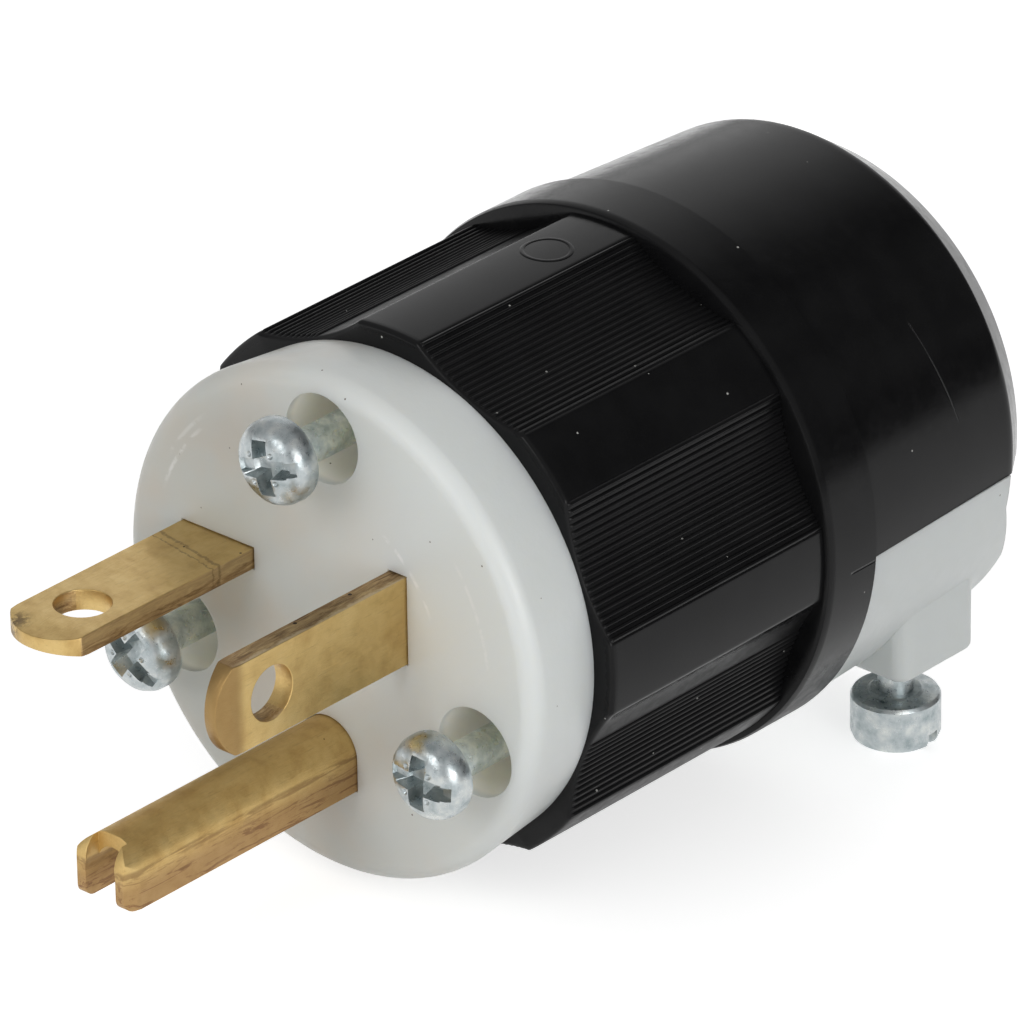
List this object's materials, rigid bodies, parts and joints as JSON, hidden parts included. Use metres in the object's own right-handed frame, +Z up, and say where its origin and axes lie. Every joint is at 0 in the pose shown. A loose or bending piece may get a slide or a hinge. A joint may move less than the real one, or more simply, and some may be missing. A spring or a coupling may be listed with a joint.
{
  "type": "straight blade power plug",
  "caption": "Round straight blade power plug with a flat blade, an upright blade, a U-shaped ground pin, a ribbed grip and a screwed cord clamp.",
  "frame": {"origin": "centre of the mating face", "axes": "+Y runs along the plug's axis from the mating face to the cord, +Z is up with the ground pin below, +X is to the right seen from the blades"},
  "size_m": [0.0392, 0.0722, 0.0413],
  "materials": {
    "white_nylon": "satin, slightly translucent",
    "black_nylon": "semi-gloss",
    "block_nylon": "satin",
    "brass": "satin",
    "zinc_steel": "bright zinc",
    "green_screw": "satin"
  },
  "bodies": {
    "root": {"blade_holder": "white_nylon", "flat_line_blade": "brass", "upright_line_blade": "brass", "ground_pin": "brass", "terminal_block": "block_nylon", "line_terminal_screws": "brass", "ground_terminal_screw": "green_screw", "flat_line_wire_clamp": "brass", "upright_line_wire_clamp": "brass", "ground_wire_clamp": "brass", "housing": "black_nylon", "assembly_screws": "zinc_steel", "assembly_screw_inserts": "brass", "cord_clamp_jaw": "white_nylon", "clamp_screws": "zinc_steel", "clamp_screw_inserts": "brass"}
  },
  "joints": []
}
